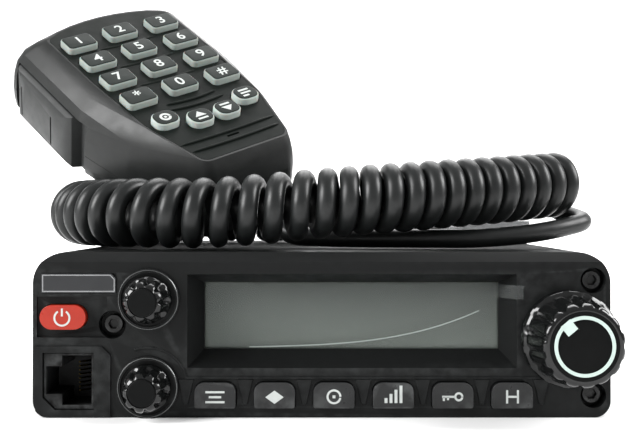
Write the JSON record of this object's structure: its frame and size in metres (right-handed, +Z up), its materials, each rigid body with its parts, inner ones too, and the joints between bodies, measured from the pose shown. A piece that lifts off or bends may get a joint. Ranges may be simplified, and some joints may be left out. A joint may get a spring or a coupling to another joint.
{
  "type": "mobile transceiver",
  "caption": "Vehicle-mount two-way radio with display panel, rotary dial and soft keys, finned rear, and a keypad hand microphone resting on top on a curly cord.",
  "frame": {"origin": "centre of the casing base, on the surface the radio stands on, midway between the panel face and the fin tips", "axes": "+X to the right of someone facing the panel, +Y from the panel to the heat sink, +Z up"},
  "size_m": [0.1702, 0.148, 0.1153],
  "materials": {
    "cast_alloy": "satin black paint over die casting",
    "sheet_metal": "fine textured black paint",
    "black_screw": "black oxide",
    "panel_plastic": "satin moulded plastic",
    "clear_window": "clear acrylic",
    "film": "thin clear film",
    "lcd": "unlit display",
    "badge_metal": "dark brushed plate",
    "button_red": "satin red",
    "soft_key": "satin",
    "knob_gloss": "polished black",
    "ring_pale": "printed ring",
    "control_metal": "plated",
    "socket_black": "satin",
    "contact_gold": "plated",
    "board_green": "solder resist",
    "module_metal": "plain",
    "speaker_black": "paper cone",
    "nickel": "nickel plate",
    "mic_case": "fine texture",
    "ptt_plastic": "fine texture",
    "mic_face": "satin",
    "keypad_rubber": "translucent silicone",
    "cord_rubber": "satin jacket",
    "plug_plastic": "smoked clear plastic"
  },
  "bodies": {
    "radio": {"chassis": "cast_alloy", "top_cover": "sheet_metal", "bottom_cover": "sheet_metal", "case_screws": "black_screw", "front_bezel": "panel_plastic", "panel_screws": "black_screw", "display_window": "clear_window", "display_film": "film", "lcd_module": "lcd", "badge_plate": "badge_metal", "rotary_controls": "control_metal", "mic_jack": "socket_black", "jack_contacts": "contact_gold", "front_board": "board_green", "main_board": "board_green", "power_module": "module_metal", "speaker": "speaker_black", "antenna_socket": "nickel", "dc_inlet": "socket_black", "speaker_jack": "nickel"},
    "microphone": {"mic_front_shell": "mic_case", "mic_rear_shell": "mic_case", "mic_face_plate": "mic_face", "mic_board": "board_green", "mic_capsule": "module_metal", "mic_screws": "nickel", "hang_button": "nickel", "strain_relief": "cord_rubber", "cord_lead": "cord_rubber", "cord_coil": "cord_rubber", "cord_tail": "cord_rubber", "mic_plug": "plug_plastic"},
    "power_button": {"power_button": "button_red"},
    "volume": {"volume_knob": "knob_gloss"},
    "squelch": {"squelch_knob": "knob_gloss"},
    "dial": {"tuning_dial": "knob_gloss", "dial_ring": "ring_pale"},
    "ptt": {"ptt_button": "ptt_plastic"},
    "key_1": {"key_1": "soft_key"},
    "key_2": {"key_2": "soft_key"},
    "key_3": {"key_3": "soft_key"},
    "key_4": {"key_4": "soft_key"},
    "key_5": {"key_5": "soft_key"},
    "key_6": {"key_6": "soft_key"},
    "mic_key_1": {"mic_key_1": "keypad_rubber"},
    "mic_key_2": {"mic_key_2": "keypad_rubber"},
    "mic_key_3": {"mic_key_3": "keypad_rubber"},
    "mic_key_4": {"mic_key_4": "keypad_rubber"},
    "mic_key_5": {"mic_key_5": "keypad_rubber"},
    "mic_key_6": {"mic_key_6": "keypad_rubber"},
    "mic_key_7": {"mic_key_7": "keypad_rubber"},
    "mic_key_8": {"mic_key_8": "keypad_rubber"},
    "mic_key_9": {"mic_key_9": "keypad_rubber"},
    "mic_key_10": {"mic_key_10": "keypad_rubber"},
    "mic_key_11": {"mic_key_11": "keypad_rubber"},
    "mic_key_12": {"mic_key_12": "keypad_rubber"},
    "mic_key_13": {"mic_key_13": "keypad_rubber"},
    "mic_key_14": {"mic_key_14": "keypad_rubber"},
    "mic_key_15": {"mic_key_15": "keypad_rubber"},
    "mic_key_16": {"mic_key_16": "keypad_rubber"}
  },
  "joints": [
    {"name": "microphone_lift", "type": "slide", "parent": "radio", "child": "microphone", "axis": [0, 0, 1], "range_m": [0, 0.12]},
    {"name": "power_button_press", "type": "slide", "parent": "radio", "child": "power_button", "axis": [0, 1, 0], "range_m": [0, 0.0008], "stiffness_N_per_m": 900},
    {"name": "key_1_press", "type": "slide", "parent": "radio", "child": "key_1", "axis": [0, 1, 0], "range_m": [0, 0.0008], "stiffness_N_per_m": 900},
    {"name": "key_2_press", "type": "slide", "parent": "radio", "child": "key_2", "axis": [0, 1, 0], "range_m": [0, 0.0008], "stiffness_N_per_m": 900},
    {"name": "key_3_press", "type": "slide", "parent": "radio", "child": "key_3", "axis": [0, 1, 0], "range_m": [0, 0.0008], "stiffness_N_per_m": 900},
    {"name": "key_4_press", "type": "slide", "parent": "radio", "child": "key_4", "axis": [0, 1, 0], "range_m": [0, 0.0008], "stiffness_N_per_m": 900},
    {"name": "key_5_press", "type": "slide", "parent": "radio", "child": "key_5", "axis": [0, 1, 0], "range_m": [0, 0.0008], "stiffness_N_per_m": 900},
    {"name": "key_6_press", "type": "slide", "parent": "radio", "child": "key_6", "axis": [0, 1, 0], "range_m": [0, 0.0008], "stiffness_N_per_m": 900},
    {"name": "volume_turn", "type": "hinge", "parent": "radio", "child": "volume", "pos_m": [-0.0419, -0.0625, 0.0286], "axis": [0, 1, 0], "range_deg": [-150, 150]},
    {"name": "squelch_turn", "type": "hinge", "parent": "radio", "child": "squelch", "pos_m": [-0.0421, -0.0625, 0.0074], "axis": [0, 1, 0], "range_deg": [-150, 150]},
    {"name": "dial_turn", "type": "hinge", "parent": "radio", "child": "dial", "pos_m": [0.0595, -0.0625, 0.0194], "axis": [0, 1, 0], "continuous": true},
    {"name": "ptt_press", "type": "slide", "parent": "microphone", "child": "ptt", "axis": [0.7621, 0.5681, 0.3107], "range_m": [0, 0.0015], "stiffness_N_per_m": 1200},
    {"name": "mic_key_1_press", "type": "slide", "parent": "microphone", "child": "mic_key_1", "axis": [-0.1432, 0.6158, -0.7748], "range_m": [0, 0.0007], "stiffness_N_per_m": 900},
    {"name": "mic_key_2_press", "type": "slide", "parent": "microphone", "child": "mic_key_2", "axis": [-0.1432, 0.6158, -0.7748], "range_m": [0, 0.0007], "stiffness_N_per_m": 900},
    {"name": "mic_key_3_press", "type": "slide", "parent": "microphone", "child": "mic_key_3", "axis": [-0.1432, 0.6158, -0.7748], "range_m": [0, 0.0007], "stiffness_N_per_m": 900},
    {"name": "mic_key_4_press", "type": "slide", "parent": "microphone", "child": "mic_key_4", "axis": [-0.1432, 0.6158, -0.7748], "range_m": [0, 0.0007], "stiffness_N_per_m": 900},
    {"name": "mic_key_5_press", "type": "slide", "parent": "microphone", "child": "mic_key_5", "axis": [-0.1432, 0.6158, -0.7748], "range_m": [0, 0.0007], "stiffness_N_per_m": 900},
    {"name": "mic_key_6_press", "type": "slide", "parent": "microphone", "child": "mic_key_6", "axis": [-0.1432, 0.6158, -0.7748], "range_m": [0, 0.0007], "stiffness_N_per_m": 900},
    {"name": "mic_key_7_press", "type": "slide", "parent": "microphone", "child": "mic_key_7", "axis": [-0.1432, 0.6158, -0.7748], "range_m": [0, 0.0007], "stiffness_N_per_m": 900},
    {"name": "mic_key_8_press", "type": "slide", "parent": "microphone", "child": "mic_key_8", "axis": [-0.1432, 0.6158, -0.7748], "range_m": [0, 0.0007], "stiffness_N_per_m": 900},
    {"name": "mic_key_9_press", "type": "slide", "parent": "microphone", "child": "mic_key_9", "axis": [-0.1432, 0.6158, -0.7748], "range_m": [0, 0.0007], "stiffness_N_per_m": 900},
    {"name": "mic_key_10_press", "type": "slide", "parent": "microphone", "child": "mic_key_10", "axis": [-0.1432, 0.6158, -0.7748], "range_m": [0, 0.0007], "stiffness_N_per_m": 900},
    {"name": "mic_key_11_press", "type": "slide", "parent": "microphone", "child": "mic_key_11", "axis": [-0.1432, 0.6158, -0.7748], "range_m": [0, 0.0007], "stiffness_N_per_m": 900},
    {"name": "mic_key_12_press", "type": "slide", "parent": "microphone", "child": "mic_key_12", "axis": [-0.1432, 0.6158, -0.7748], "range_m": [0, 0.0007], "stiffness_N_per_m": 900},
    {"name": "mic_key_13_press", "type": "slide", "parent": "microphone", "child": "mic_key_13", "axis": [-0.1432, 0.6158, -0.7748], "range_m": [0, 0.0007], "stiffness_N_per_m": 900},
    {"name": "mic_key_14_press", "type": "slide", "parent": "microphone", "child": "mic_key_14", "axis": [-0.1432, 0.6158, -0.7748], "range_m": [0, 0.0007], "stiffness_N_per_m": 900},
    {"name": "mic_key_15_press", "type": "slide", "parent": "microphone", "child": "mic_key_15", "axis": [-0.1432, 0.6158, -0.7748], "range_m": [0, 0.0007], "stiffness_N_per_m": 900},
    {"name": "mic_key_16_press", "type": "slide", "parent": "microphone", "child": "mic_key_16", "axis": [-0.1432, 0.6158, -0.7748], "range_m": [0, 0.0007], "stiffness_N_per_m": 900}
  ]
}
